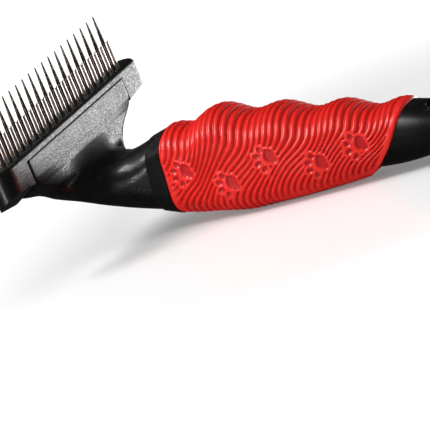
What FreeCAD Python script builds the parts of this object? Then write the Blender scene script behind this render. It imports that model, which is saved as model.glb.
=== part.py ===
"""Dematting comb: a T-shaped grooming rake with free-turning steel pins.

Frame: millimetres, +Z up.  X runs from the head (-X) to the tail (+X), Y along the row
of pins.  The origin lies under the middle of the comb, on the level of its underside.
Places along the comb are measured from the row of pins, heights from the underside.
"""
import FreeCAD, Part
import math
import os
import Sketcher

Vector = FreeCAD.Vector

# ---------------------------------------------------------------- driving dimensions
SIZES = {
    # where the row of pins stands in the frame
    "row_x": -68.5,             # the row of pins, from the origin
    "face_height": 44.3,        # pin face above the underside of the handle
    # pins
    "long_pins": 18,            # one short pin more stands in the same row
    "pin_gap": 2.35,            # from one pin to the next
    "long_reach": 17.8,         # above the face
    "short_reach": 8.4,
    "shank_radius": 0.74,       # in the plate, and up the long pins' barrel
    "barrel_reach": 8.5,        # ring between the barrel and the taper, above the face
    "ring_proud": 0.03,
    "ring_half": 0.15,
    "tip_radius": 0.26,
    "short_radius": 0.54,       # short pins, at the face
    "short_tip": 0.48,
    "flange_radius": 0.95,
    "flange_height": 0.8,
    "running_gap": 0.05,        # shank to hole, on the radius
    "end_play": 0.1,            # flange to plate and to strip
    # pin plate and thrust strip
    "plate_half": 3.5,
    "plate_thick": 1.8,
    "web_half": 2.2,
    "web_thick": 0.8,           # plate under its visible top, above the flanges
    "strip_thick": 1.0,
    "fit_gap": 0.05,            # inlaid pieces, all round
    # head bar
    "end_margin": 5.9,          # last pin to the end of the bar
    "bar_half": 4.8,
    "bar_height": 8.0,
    "rim_round": 1.1,
    "end_wall": 10.7,           # depth of the wings at the end of the bar, in its middle
    "wing_depth": 12.5,         # depth beside the yoke
    "wing_slope": 28.0,         # their underside falls towards the front
    "wing_gap": 0.15,           # wing to yoke
    # yoke: the flared fan, its neck and tang
    "yoke_half": 34.5,
    "yoke_top": 2.3,            # under the face
    "yoke_proud": 0.3,          # stands out from the bar
    "yoke_plate": 2.1,          # thickness behind the bar
    "tang_length": 36.0,
    "tang_high": 5.0,           # half sizes
    "tang_wide": 3.5,
    # bar screws
    "bar_screw_first": 9.0,     # from the middle of the bar
    "bar_screw_step": 16.0,
    "bar_screw_depth": 6.35,    # under the face
    "bar_screw_radius": 0.8,
    "bar_screw_head": 1.5,
    "bar_screw_head_high": 1.0,
    "bar_boss_radius": 1.3,
    # joint between head and handle
    "collar_x": 27.4,
    "collar_length": 5.8,
    "collar_high": 12.2,        # half sizes of its front
    "collar_wide": 8.9,
    "collar_step": 0.4,         # the neck is this much lower than the collar
    "axis_height": 18.2,        # handle axis at the collar
    "lean": 7.0,                # the collar leans with the falling handle
    "bond_gap": 0.1,            # sleeve and collar over the core
    # grip
    "ridge_start": 22.4,        # grip front to the first finger ridge
    "finger_pitch": 21.3,
    "ridge_top": 34.8,          # height of the first ridge
    "ridge_drop": 4.25,         # from ridge to ridge
    "groove_depth": 2.4,
    "heel_x": 4.4,              # from the grip front
    "heel_top": 32.5,
    "index_x": 11.4,
    "index_top": 31.4,
    "step_x": 17.4,
    "step_top": 34.0,
    "grip_front_top": 31.8,
    "grip_flat": 1.2,           # half height less corner radius of a section
    "lip_reach": 6.0,           # the skin runs on past the lip before it is trimmed
    "lip_drop": 3.0,
    "grip_end_radius": 38.0,    # the rear edge is an arc seen from the side
    "grip_end_x": 86.5,
    "grip_end_height": 36.3,
    # core
    "core_front_high": 11.2,
    "core_front_wide": 8.0,
    "core_end_x": 100.0,
    "dowel_radius": 1.5,
    "dowel_half": 6.4,
    "dowel_first_x": 38.0,
    "dowel_step": 16.0,
    "dowel_height": 17.0,
    "core_screw_clear": 3.0,    # centre to the tang in front and to the spigot behind
    "core_screw_height": 15.0,
    "core_screw_radius": 1.25,
    "core_screw_head": 2.5,
    "core_screw_head_high": 1.8,
    "core_screw_seat": 3.6,     # head seat from the parting plane
    "core_screw_tip": 5.2,
    "pocket_clear": 4.0,        # centre of a core screw to the pocket between them
    "pocket_high": 6.0,
    "pocket_wide": 4.5,
    # tail
    "spigot_length": 12.0,
    "spigot_height": 12.6,
    "tail_dowel_half": 6.2,
    "spigot_high": 4.5,
    "spigot_wide": 3.5,
    "tail_dowel_x": 94.0,
    "hole_x": 131.0,
    "hole_radius": 3.4,
    "eyelet_wall": 0.9,
    "eyelet_flange": 5.3,
    "eyelet_flange_high": 1.0,
    "eyelet_top": 18.4,         # middle of its flange, above the underside
    "eyelet_length": 13.3,
    "eyelet_lean": 9.0,         # the hole leans back, square to the tapered tail
    "eyelet_round": 0.45,
}

# Sections of the lofted pieces: distance from the row, centre height above the underside,
# turn of the section (0 lies flat, 90 stands across X), half size in its plane across Y,
# half width along Y, corner radius.
YOKE_SECTIONS = {
    "shoulder": (0.15, 36.3, 0.0, 4.95, 34.5, 1.2),
    "flare": (0.5, 31.6, 18.0, 4.8, 33.6, 2.4),
    "waist": (1.8, 28.6, 16.0, 4.1, 27.4, 3.6),
    "throat": (3.4, 25.3, 22.0, 4.2, 22.4, 3.9),
    "bend": (6.7, 22.6, 42.0, 4.7, 16.8, 4.4),
    "hollow": (11.9, 20.1, 66.0, 6.7, 12.2, 6.3),
    "neck": (19.5, 18.4, 81.0, 9.4, 9.8, 8.6),
}
CORE_SECTIONS = {
    "core_swell": (50.0, 17.1, 90.0, 12.4, 8.6, 7.8),
    "core_waist": (87.0, 13.4, 90.0, 10.2, 8.2, 7.4),
    "core_rear": (125.0, 11.3, 90.0, 5.6, 6.2, 5.2),
}
TAIL_SECTIONS = {
    "tail_root": (98.0, 13.6, 90.0, 9.8, 9.6, 8.4),
    "tail_heel": (109.0, 12.8, 90.0, 10.1, 9.8, 8.6),
    "tail_lip": (118.0, 11.9, 90.0, 9.4, 9.7, 8.4),
    "tail_eye": (131.0, 10.6, 90.0, 7.0, 9.2, 6.4),
    "tail_taper": (137.5, 9.7, 90.0, 5.6, 7.6, 5.2),
    "tail_round": (140.8, 9.3, 90.0, 4.3, 5.2, 4.0),
    "tail_end": (142.0, 9.1, 90.0, 2.5, 2.8, 2.2),
}
SECTION_FIELDS = ("x", "height", "turn", "high", "wide", "corner")

# Grip: underside height and half width at the front, at the heel, in the index finger's
# groove, on the step behind it, at each ridge and in the groove behind it, and past the lip.
GRIP_SECTIONS = {
    "grip_front": (4.3, 9.4),
    "grip_heel": (3.3, 10.1),
    "grip_index": (2.2, 10.9),
    "grip_step": (1.1, 11.7),
    "grip_ridge_a": (0.3, 12.0),
    "grip_groove_a": (0.0, 12.1),
    "grip_ridge_b": (0.0, 12.1),
    "grip_groove_b": (0.3, 11.6),
    "grip_ridge_c": (0.8, 11.2),
    "grip_groove_c": (1.8, 10.5),
    "grip_lip": (2.6, 10.3),
    "grip_past": (2.8, 10.1),
}

ROW_HALF = "Sizes.long_pins * Sizes.pin_gap"
BAR_END = "(Sizes.long_pins * Sizes.pin_gap + Sizes.end_margin)"
FLANGE_ROOM = "(Sizes.flange_height + 2 * Sizes.end_play)"
STRIP_TOP = "(Sizes.plate_thick + Sizes.web_thick + " + FLANGE_ROOM + ")"
YOKE_FACE = "(Sizes.bar_half + Sizes.yoke_proud - Sizes.yoke_plate)"
GRIP_FRONT = "(Sizes.collar_x + Sizes.collar_length)"
LEANING = "90 - Sizes.lean"
FRONT_SCREW = "(Sizes.collar_x + Sizes.tang_length + Sizes.core_screw_clear)"
REAR_SCREW = "(Sizes.core_end_x - Sizes.spigot_length - Sizes.core_screw_clear)"
CUT_REACH = 200.0               # longer than any piece that a cutter goes through

doc = FreeCAD.newDocument("DemattingComb")
sheet = doc.addObject("Spreadsheet::Sheet", "Sizes")
nodes = {}


def fill_sheet():
    """One row for each size: its name, its value and the alias the model reads."""
    entries = dict(SIZES)
    for sections in (YOKE_SECTIONS, CORE_SECTIONS, TAIL_SECTIONS, GRIP_SECTIONS):
        for name, values in sections.items():
            fields = SECTION_FIELDS if len(values) > 2 else ("under", "wide")
            for field, value in zip(fields, values):
                entries[name + "_" + field] = value
    for row, (name, value) in enumerate(entries.items(), start=1):
        sheet.set("A%d" % row, name)
        sheet.set("B%d" % row, str(value))
        sheet.setAlias("B%d" % row, name)
    doc.recompute()


def number(expression):
    """The value that an expression has now, in millimetres or degrees."""
    return float(sheet.evalExpression(str(expression)))


def bind(target, **properties):
    """Tie properties of an object to expressions; a double underscore stands for a dot."""
    for name, expression in properties.items():
        target.setExpression(name.replace("__", "."), str(expression))


def place(target, along="0", across="0", height="0"):
    """Tie an object's position to expressions; X starts at the origin."""
    bind(target, Placement__Base__x=along, Placement__Base__y=across, Placement__Base__z=height)


def keep(name, target):
    """Register a finished sub-part under the name of its node."""
    target.Label = name
    nodes[name] = target
    return target


# ---------------------------------------------------------------- sketch outlines
def dimension(sketch, kind, geometry, expression):
    """Add a driving dimension whose value follows an expression."""
    index = sketch.addConstraint(Sketcher.Constraint(kind, *geometry, number(expression)))
    sketch.setExpression("Constraints[%d]" % index, expression)


def tie_point(sketch, geometry, point, across, up):
    """Fix one point of a sketch; a coordinate of "0" puts it on the axis."""
    for kind, value, axis in (("DistanceX", across, -2), ("DistanceY", up, -1)):
        if value == "0":
            sketch.addConstraint(Sketcher.Constraint("PointOnObject", geometry, point, axis))
        else:
            dimension(sketch, kind, (-1, 1, geometry, point), value)


def polygon(sketch, corners):
    """A closed outline of straight lines through corners given as expressions."""
    points = [Vector(number(across), number(up), 0) for across, up in corners]
    for index, start in enumerate(points):
        sketch.addGeometry(Part.LineSegment(start, points[(index + 1) % len(points)]))
    for index, corner in enumerate(corners):
        sketch.addConstraint(Sketcher.Constraint("Coincident", index - 1 if index else
                                                 len(points) - 1, 2, index, 1))
        tie_point(sketch, index, 1, *corner)


def rounded_rectangle(sketch, half_across, half_up, corner):
    """A rectangle about the sketch's origin with four equal round corners."""
    wide, high, radius = number(half_across), number(half_up), number(corner)
    centres = [(1, 1), (-1, 1), (-1, -1), (1, -1)]
    quarter = math.radians(90)
    arcs = []
    for turn, (side, level) in enumerate(centres):
        centre = Vector(side * (wide - radius), level * (high - radius), 0)
        circle = Part.Circle(centre, Vector(0, 0, 1), radius)
        arcs.append(Part.ArcOfCircle(circle, turn * quarter, (turn + 1) * quarter))
    for arc in arcs:
        sketch.addGeometry(arc)
    for turn, arc in enumerate(arcs):
        following = arcs[(turn + 1) % 4]
        sketch.addGeometry(Part.LineSegment(arc.EndPoint, following.StartPoint))
    for turn in range(4):
        line = 4 + turn
        level = "Horizontal" if turn % 2 == 0 else "Vertical"
        sketch.addConstraint(Sketcher.Constraint("Tangent", turn, 2, line, 1))
        sketch.addConstraint(Sketcher.Constraint("Tangent", line, 2, (turn + 1) % 4, 1))
        sketch.addConstraint(Sketcher.Constraint(level, line))
    for turn in range(3):
        sketch.addConstraint(Sketcher.Constraint("Equal", turn, turn + 1))
    dimension(sketch, "Radius", (0,), corner)
    dimension(sketch, "DistanceY", (-1, 1, 4, 1), half_up)
    dimension(sketch, "DistanceX", (5, 1, -1, 1), half_across)
    dimension(sketch, "DistanceY", (6, 1, -1, 1), half_up)
    dimension(sketch, "DistanceX", (-1, 1, 7, 1), half_across)


def slot(sketch, half_length, radius):
    """A slot along the sketch's second axis with fully round ends."""
    end, size = number(half_length) - number(radius), number(radius)
    straight = math.radians(180)
    for side, start in ((1, 0.0), (-1, straight)):
        circle = Part.Circle(Vector(0, side * end, 0), Vector(0, 0, 1), size)
        sketch.addGeometry(Part.ArcOfCircle(circle, start, start + straight))
    sketch.addGeometry(Part.LineSegment(Vector(-size, end, 0), Vector(-size, -end, 0)))
    sketch.addGeometry(Part.LineSegment(Vector(size, -end, 0), Vector(size, end, 0)))
    for first, second in ((0, 2), (2, 1), (1, 3), (3, 0)):
        sketch.addConstraint(Sketcher.Constraint("Tangent", first, 2, second, 1))
    for line in (2, 3):
        sketch.addConstraint(Sketcher.Constraint("Vertical", line))
    sketch.addConstraint(Sketcher.Constraint("PointOnObject", 0, 3, -2))
    dimension(sketch, "Radius", (0,), radius)
    dimension(sketch, "DistanceY", (-1, 1, 0, 3), "%s - %s" % (half_length, radius))
    dimension(sketch, "DistanceY", (1, 3, -1, 1), "%s - %s" % (half_length, radius))


# ---------------------------------------------------------------- part design helpers
def body_at(name, along, across, height):
    """A body whose own origin stands at the given place."""
    body = doc.addObject("PartDesign::Body", name)
    place(body, along, across, height)
    return body


def head_body(name):
    """A body whose origin is the middle of the pin face."""
    return body_at(name, "Sizes.row_x", "0", "Sizes.face_height")


def sketch_on(body, role, name, offset="0"):
    """A sketch on one of the body's own origin planes, moved along its normal."""
    plane = [item for item in body.Origin.OriginFeatures if item.Role == role][0]
    sketch = body.newObject("Sketcher::SketchObject", name)
    sketch.AttachmentSupport = [(plane, "")]
    sketch.MapMode = "FlatFace"
    bind(sketch, AttachmentOffset__Base__z=offset)
    return sketch


def pad_down(body, sketch, name, length):
    """Grow a sketch on a level plane downwards."""
    pad = body.newObject("PartDesign::Pad", name)
    pad.Profile = sketch
    pad.Reversed = True
    bind(pad, Length=length)
    return pad


def pocket_down(body, sketch, name, depth):
    """Cut a sketch on a level plane downwards."""
    pocket = body.newObject("PartDesign::Pocket", name)
    pocket.Profile = sketch
    bind(pocket, Length=depth)
    return pocket


def through_cut(body, sketch, name):
    """Cut a sketch through the whole body, to both sides."""
    pocket = body.newObject("PartDesign::Pocket", name)
    pocket.Profile = sketch
    pocket.Midplane = True
    pocket.Type = "ThroughAll"
    return pocket


def slot_pad(body, name, half_length, radius, depth, below="0"):
    sketch = sketch_on(body, "XY_Plane", name + "_outline", "-(%s)" % below)
    slot(sketch, half_length, radius)
    return pad_down(body, sketch, name, depth)


def slot_pocket(body, name, half_length, radius, depth, below="0"):
    sketch = sketch_on(body, "XY_Plane", name + "_outline", "-(%s)" % below)
    slot(sketch, half_length, radius)
    return pocket_down(body, sketch, name, depth)


# ---------------------------------------------------------------- solid helpers
def cylinder(name, radius, length, along, across, height, axis):
    """A cylinder that starts at the given place and grows along axis "x", "y" or "z"."""
    turns = {"x": (Vector(0, 1, 0), 90), "y": (Vector(1, 0, 0), -90), "z": (Vector(0, 0, 1), 0)}
    rod = doc.addObject("Part::Cylinder", name)
    rod.Placement = FreeCAD.Placement(Vector(), FreeCAD.Rotation(*turns[axis]))
    bind(rod, Radius=radius, Height=length)
    place(rod, along, across, height)
    return rod


def block(name, length, width, height, along, across, bottom):
    """A box that starts at the given place and spans length, width and height."""
    box = doc.addObject("Part::Box", name)
    bind(box, Length=length, Width=width, Height=height)
    place(box, along, across, bottom)
    return box


def centred_block(name, length, half_wide, half_high, along, height):
    """A box that starts at one X and is centred on the XZ plane and on one height."""
    return block(name, length, "2 * (%s)" % half_wide, "2 * (%s)" % half_high, along,
                 "-(%s)" % half_wide, "%s - (%s)" % (height, half_high))


def joined(name, parts):
    fusion = doc.addObject("Part::MultiFuse", name)
    fusion.Shapes = parts
    return fusion


def grouped(name, parts):
    group = doc.addObject("Part::Compound", name)
    group.Links = parts
    return group


def cut(name, base, tools):
    """The base less its cutters."""
    remainder = doc.addObject("Part::Cut", name)
    remainder.Base = base
    remainder.Tool = tools[0] if len(tools) == 1 else grouped(name + "_cutters", tools)
    return remainder


def common(name, first, second):
    overlap = doc.addObject("Part::Common", name)
    overlap.Base = first
    overlap.Tool = second
    return overlap


def section(name, x, height, turn, high, wide, corner):
    """A rounded section across the comb's own XZ plane, for a loft."""
    sketch = doc.addObject("Sketcher::SketchObject", name)
    rounded_rectangle(sketch, high, wide, corner)
    sketch.Placement = FreeCAD.Placement(Vector(), FreeCAD.Rotation(Vector(0, 1, 0), -45))
    place(sketch, "Sizes.row_x + %s" % x, "0", height)
    bind(sketch, Placement__Rotation__Angle="-(%s)" % turn)
    return sketch


def sheet_section(name, prefix="", gap="0"):
    """A section whose sizes are the sheet's own rows, enlarged by a gap."""
    x, height, turn, high, wide, corner = ("Sizes.%s_%s" % (name, field) for field in SECTION_FIELDS)
    return section(prefix + name, x, height, turn, "%s + %s" % (high, gap),
                   "%s + %s" % (wide, gap), "%s + %s" % (corner, gap))


def loft(name, sections):
    skin = doc.addObject("Part::Loft", name)
    skin.Sections = sections
    skin.Solid = True
    skin.MaxDegree = 3
    return skin


# ---------------------------------------------------------------- pins
def pin(name, across, reach, tip_radius, sides):
    """A steel pin with a flange that a plate holds down; it turns about its axis."""
    body = body_at(name + "_body", "Sizes.row_x", across, "Sizes.face_height")
    sketch = sketch_on(body, "XZ_Plane", name + "_profile")
    flange_top = "-(Sizes.plate_thick + Sizes.web_thick + Sizes.end_play)"
    flange_bottom = flange_top + " - Sizes.flange_height"
    tip_start = "%s - %s" % (reach, tip_radius)
    corners = [("0", flange_bottom), ("Sizes.flange_radius", flange_bottom),
               ("Sizes.flange_radius", flange_top), ("Sizes.shank_radius", flange_top)]
    corners += sides + [(tip_radius, tip_start)]
    points = [Vector(number(across_), number(up), 0) for across_, up in corners]
    for start, end in zip(points[:-1], points[1:]):
        sketch.addGeometry(Part.LineSegment(start, end))
    dome = len(corners) - 1
    middle = Vector(0, number(tip_start), 0)
    tip = Part.Circle(middle, Vector(0, 0, 1), number(tip_radius))
    sketch.addGeometry(Part.ArcOfCircle(tip, 0.0, math.radians(90)))
    sketch.addGeometry(Part.LineSegment(Vector(0, number(reach), 0), points[0]))
    for line in range(dome):
        tie_point(sketch, line, 1, *corners[line])
        sketch.addConstraint(Sketcher.Constraint("Coincident", line, 2, line + 1, 1))
    tie_point(sketch, dome, 1, *corners[dome])
    tie_point(sketch, dome, 3, "0", tip_start)
    sketch.addConstraint(Sketcher.Constraint("PointOnObject", dome, 2, -2))
    sketch.addConstraint(Sketcher.Constraint("Coincident", dome, 2, dome + 1, 1))
    sketch.addConstraint(Sketcher.Constraint("Coincident", dome + 1, 2, 0, 1))
    turned = body.newObject("PartDesign::Revolution", name + "_turned")
    turned.Profile = sketch
    turned.ReferenceAxis = (sketch, ["V_Axis"])
    turned.Angle = 360.0
    return keep(name, body)


def build_pins():
    """Long and short pins in one row, alternating, a short one at each end."""
    long_count = int(number("Sizes.long_pins"))
    short_sides = [("Sizes.shank_radius", "0"), ("Sizes.short_radius", "0")]
    barrel_end = "Sizes.barrel_reach - Sizes.ring_half"
    taper_start = "Sizes.barrel_reach + Sizes.ring_half"
    ring_radius = "Sizes.shank_radius + Sizes.ring_proud"
    long_sides = [("Sizes.shank_radius", barrel_end), (ring_radius, "Sizes.barrel_reach"),
                  ("Sizes.shank_radius", taper_start)]
    for index in range(long_count + 1):
        across = "(2 * %d - Sizes.long_pins) * Sizes.pin_gap" % index
        pin("short_pin_%02d" % (index + 1), across, "Sizes.short_reach", "Sizes.short_tip",
            short_sides)
    for index in range(long_count):
        across = "(2 * %d + 1 - Sizes.long_pins) * Sizes.pin_gap" % index
        pin("long_pin_%02d" % (index + 1), across, "Sizes.long_reach", "Sizes.tip_radius",
            long_sides)


# ---------------------------------------------------------------- head
def build_pin_plate():
    """The inlaid face: a broad visible top, a narrower web under it and a channel for flanges."""
    body = head_body("pin_plate_body")
    rim = "(Sizes.bar_half - Sizes.plate_half)"
    slot_pad(body, "plate_top", "%s - %s" % (BAR_END, rim), "Sizes.plate_half", "Sizes.plate_thick")
    web_end = "%s - (Sizes.bar_half - Sizes.web_half)" % BAR_END
    slot_pad(body, "plate_web", web_end, "Sizes.web_half", STRIP_TOP)
    channel_radius = "(Sizes.flange_radius + 2 * Sizes.end_play)"
    channel_end = "(%s + %s)" % (ROW_HALF, channel_radius)
    sketch = sketch_on(body, "XY_Plane", "channel_outline", "-%s" % STRIP_TOP)
    slot(sketch, channel_end, channel_radius)
    channel = pocket_down(body, sketch, "channel", FLANGE_ROOM)
    channel.Reversed = True
    doc.recompute()
    sketch = sketch_on(body, "XY_Plane", "hole_outline")
    sketch.addGeometry(Part.Circle(Vector(0, -number(ROW_HALF), 0), Vector(0, 0, 1), 1))
    sketch.addConstraint(Sketcher.Constraint("PointOnObject", 0, 3, -2))
    dimension(sketch, "Radius", (0,), "Sizes.shank_radius + Sizes.running_gap")
    dimension(sketch, "DistanceY", (0, 3, -1, 1), ROW_HALF)
    hole = pocket_down(body, sketch, "first_hole", STRIP_TOP)
    doc.recompute()
    holes = body.newObject("PartDesign::LinearPattern", "pin_holes")
    holes.Originals = [hole]
    holes.Direction = (sketch, ["V_Axis"])
    bind(holes, Length="2 * %s" % ROW_HALF, Occurrences="2 * Sizes.long_pins + 1")
    body.Tip = holes
    keep("pin_plate", body)


def build_thrust_strip():
    """A steel strip that the pins' flanges turn on."""
    body = head_body("thrust_strip_body")
    end = "(%s - (Sizes.bar_half - Sizes.web_half) - Sizes.fit_gap)" % BAR_END
    slot_pad(body, "strip", end, "(Sizes.web_half - Sizes.fit_gap)", "Sizes.strip_thick", STRIP_TOP)
    keep("thrust_strip", body)


def rim_edges(shape, level):
    """The names of the edges of a shape that lie at one height, round its outside."""
    names = []
    for index, edge in enumerate(shape.Edges, start=1):
        box = edge.BoundBox
        if abs(box.ZMin - level) < 1e-4 and abs(box.ZMax - level) < 1e-4:
            names.append("Edge%d" % index)
    return names


def build_head_bar():
    """The bar with its rounded ends, the seat of the plate and the recess for the yoke."""
    body = head_body("head_bar_body")
    bar = slot_pad(body, "bar", BAR_END, "Sizes.bar_half", "Sizes.wing_depth + Sizes.bar_half")
    doc.recompute()
    rounding = body.newObject("PartDesign::Fillet", "rim")
    rounding.Base = (bar, rim_edges(bar.Shape, 0.0))
    bind(rounding, Radius="Sizes.rim_round")
    doc.recompute()
    beside = "(Sizes.yoke_half + Sizes.wing_gap)"
    past, beyond = "(%s + 5)" % BAR_END, "-(Sizes.wing_depth + 15)"
    end_level = "-(Sizes.end_wall * cos(Sizes.wing_slope * 1 deg))"
    wing_level = "-(Sizes.wing_depth * cos(Sizes.wing_slope * 1 deg))"
    outline = sketch_on(body, "YZ_Plane", "wing_outline")
    outline.AttachmentOffset = FreeCAD.Placement(Vector(), FreeCAD.Rotation(Vector(1, 0, 0), 5))
    bind(outline, AttachmentOffset__Rotation__Angle="-Sizes.wing_slope")
    half = [(beside, wing_level), (BAR_END, end_level), (past, end_level), (past, beyond)]
    polygon(outline, half + [("-" + across, up) for across, up in reversed(half)])
    through_cut(body, outline, "wing_cut")
    middle = sketch_on(body, "YZ_Plane", "middle_outline")
    polygon(middle, [(beside, "-Sizes.bar_height"), (beside, beyond),
                     ("-" + beside, beyond), ("-" + beside, "-Sizes.bar_height")])
    through_cut(body, middle, "middle_cut")
    seat_end = "%s - (Sizes.bar_half - Sizes.plate_half) + Sizes.fit_gap" % BAR_END
    slot_pocket(body, "plate_seat", seat_end, "(Sizes.plate_half + Sizes.fit_gap)",
                "Sizes.plate_thick")
    web_end = "(%s - (Sizes.bar_half - Sizes.web_half) + Sizes.fit_gap)" % BAR_END
    slot_pocket(body, "web_seat", web_end, "(Sizes.web_half + Sizes.fit_gap)",
                "%s + Sizes.strip_thick" % STRIP_TOP)
    recess = block("yoke_recess", CUT_REACH, "2 * " + beside, CUT_REACH,
                   "Sizes.row_x + %s - Sizes.fit_gap" % YOKE_FACE, "-" + beside,
                   "Sizes.face_height - Sizes.yoke_top + Sizes.fit_gap - %s" % CUT_REACH)
    holes = []
    for index in range(4):
        across = bar_screw_place(index)
        height = "Sizes.face_height - Sizes.bar_screw_depth"
        start = "Sizes.row_x - Sizes.bar_half"
        holes.append(cylinder("bar_hole_%d" % index, "Sizes.bar_screw_radius + Sizes.fit_gap",
                              CUT_REACH, start, across, height, "x"))
        holes.append(cylinder("bar_sink_%d" % index, "Sizes.bar_screw_head + Sizes.fit_gap",
                              "Sizes.bar_screw_head_high + Sizes.fit_gap", start, across, height, "x"))
        holes.append(cylinder("boss_hole_%d" % index, "Sizes.bar_boss_radius + Sizes.fit_gap",
                              CUT_REACH, "Sizes.row_x - Sizes.fit_gap", across, height, "x"))
    keep("head_bar", cut("head_bar_cut", body, [recess] + holes))


def bar_screw_place(index):
    """Where the screw with this number stands along the bar."""
    side = 1 if index % 2 else -1
    return "%d * (Sizes.bar_screw_first + %d * Sizes.bar_screw_step)" % (side, index // 2)


def build_bar_screws():
    """Four small screws that hold the bar to the bosses of the yoke."""
    screws = []
    for index in range(4):
        across = bar_screw_place(index)
        height = "Sizes.face_height - Sizes.bar_screw_depth"
        start = "Sizes.row_x - Sizes.bar_half"
        head = cylinder("bar_screw_head_%d" % index, "Sizes.bar_screw_head",
                        "Sizes.bar_screw_head_high", start, across, height, "x")
        shank = cylinder("bar_screw_shank_%d" % index, "Sizes.bar_screw_radius",
                         "Sizes.bar_half + %s - Sizes.fit_gap" % YOKE_FACE, start, across, height, "x")
        screws.append(joined("bar_screw_%d" % index, [head, shank]))
    keep("bar_screws", grouped("bar_screw_group", screws))


def build_fan_yoke():
    """The flared fan behind the bar, its neck, the bosses and the tang in the handle."""
    sections = [sheet_section(name) for name in YOKE_SECTIONS]
    sections.append(section("neck_end", "Sizes.collar_x", "Sizes.axis_height", LEANING,
                            "Sizes.collar_high - Sizes.collar_step",
                            "Sizes.collar_wide - Sizes.collar_step",
                            "Sizes.collar_wide - Sizes.collar_step - 0.4"))
    flare = loft("yoke_flare", sections)
    upright = doc.addObject("Part::Extrusion", "yoke_upright")
    upright.Base = sections[0]
    upright.DirMode = "Custom"
    upright.Dir = Vector(0, 0, 1)
    upright.Solid = True
    bind(upright, LengthFwd="Sizes.face_height - Sizes.yoke_top - Sizes.shoulder_height")
    bar_room = block("bar_room", CUT_REACH, CUT_REACH, CUT_REACH,
                     "Sizes.row_x + %s - %s" % (YOKE_FACE, CUT_REACH), "-%s / 2" % CUT_REACH,
                     "Sizes.face_height - Sizes.bar_height - Sizes.fit_gap")
    span = centred_block("yoke_span", CUT_REACH, "Sizes.yoke_half", CUT_REACH,
                         "Sizes.row_x - %s / 2" % CUT_REACH, "0")
    trimmed = common("yoke_trimmed", joined("yoke_solid", [flare, upright]), span)
    shell = cut("yoke_shell", trimmed, [bar_room])
    bosses = []
    bores = []
    for index in range(4):
        across = bar_screw_place(index)
        height = "Sizes.face_height - Sizes.bar_screw_depth"
        bosses.append(cylinder("boss_%d" % index, "Sizes.bar_boss_radius",
                               YOKE_FACE + " + Sizes.fit_gap", "Sizes.row_x", across, height, "x"))
        bores.append(cylinder("boss_bore_%d" % index, "Sizes.bar_screw_radius",
                              YOKE_FACE, "Sizes.row_x", across, height, "x"))
    tang = centred_block("tang", "Sizes.tang_length + 6", "Sizes.tang_wide", "Sizes.tang_high",
                         "Sizes.row_x + Sizes.collar_x - 6", "Sizes.dowel_height")
    holes = [dowel_rod("tang_hole_%d" % index, index, "0") for index in range(2)]
    keep("fan_yoke", cut("fan_yoke_cut", joined("yoke_all", [shell, tang] + bosses), bores + holes))


def dowel_rod(name, index, gap):
    """One of the two dowels that go through the core and the tang."""
    return cylinder(name, "Sizes.dowel_radius + %s" % gap, "2 * Sizes.dowel_half + 2 * %s" % gap,
                    "Sizes.row_x + Sizes.dowel_first_x + %d * Sizes.dowel_step" % index,
                    "-Sizes.dowel_half - %s" % gap, "Sizes.dowel_height", "y")


# ---------------------------------------------------------------- handle
def core_skin(name, gap):
    """The outside of the handle's core, or of the bore that fits over it."""
    front = section(name + "_front", "Sizes.collar_x", "Sizes.axis_height", LEANING,
                    "Sizes.core_front_high + %s" % gap, "Sizes.core_front_wide + %s" % gap,
                    "Sizes.core_front_wide - 0.6 + %s" % gap)
    others = [sheet_section(key, name + "_", gap) for key in CORE_SECTIONS]
    return loft(name, [front] + others)


def core_half(name, side):
    """One half of the core, cut for the tang, the screws, the dowels and the spigot."""
    space = block(name + "_space", "Sizes.core_end_x", CUT_REACH, CUT_REACH, "Sizes.row_x",
                  "0" if side > 0 else "-%s" % CUT_REACH, "-%s / 2" % CUT_REACH)
    half = common(name + "_half", core_skin(name + "_skin", "0"), space)
    slot_room = centred_block(name + "_tang_room", "Sizes.tang_length + 6 + Sizes.fit_gap",
                              "Sizes.tang_wide + Sizes.fit_gap", "Sizes.tang_high + Sizes.fit_gap",
                              "Sizes.row_x + Sizes.collar_x - 6", "Sizes.dowel_height")
    hollow = centred_block(name + "_pocket",
                           "%s - %s - 2 * Sizes.pocket_clear" % (REAR_SCREW, FRONT_SCREW),
                           "Sizes.pocket_wide", "Sizes.pocket_high",
                           "Sizes.row_x + %s + Sizes.pocket_clear" % FRONT_SCREW,
                           "Sizes.core_screw_height")
    socket = centred_block(name + "_socket", "Sizes.spigot_length + 1",
                           "Sizes.spigot_wide + Sizes.fit_gap", "Sizes.spigot_high + Sizes.fit_gap",
                           "Sizes.row_x + Sizes.core_end_x - Sizes.spigot_length - Sizes.fit_gap",
                           "Sizes.spigot_height")
    cutters = [slot_room, hollow, socket, tail_dowel_rod(name + "_tail_hole", "0")]
    for index in range(2):
        cutters.append(dowel_rod("%s_dowel_hole_%d" % (name, index), index, "0"))
        cutters += core_screw_solids("%s_screw_hole_%d" % (name, index), index, "Sizes.fit_gap", True)
    keep(name, cut(name + "_cut", half, cutters))


def core_screw_solids(name, index, gap, open_ended):
    """Shank and head of a screw across the core, or the hole and counterbore for it."""
    along = "Sizes.row_x + " + (REAR_SCREW if index else FRONT_SCREW)
    shank = cylinder(name + "_shank", "Sizes.core_screw_radius + %s" % gap,
                     "Sizes.core_screw_seat + Sizes.core_screw_tip + %s" % gap, along,
                     "-Sizes.core_screw_seat", "Sizes.core_screw_height", "y")
    reach = CUT_REACH if open_ended else "Sizes.core_screw_head_high"
    head = cylinder(name + "_head", "Sizes.core_screw_head + %s" % gap, reach, along,
                    "-Sizes.core_screw_seat - %s" % reach, "Sizes.core_screw_height", "y")
    return [shank, head]


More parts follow.
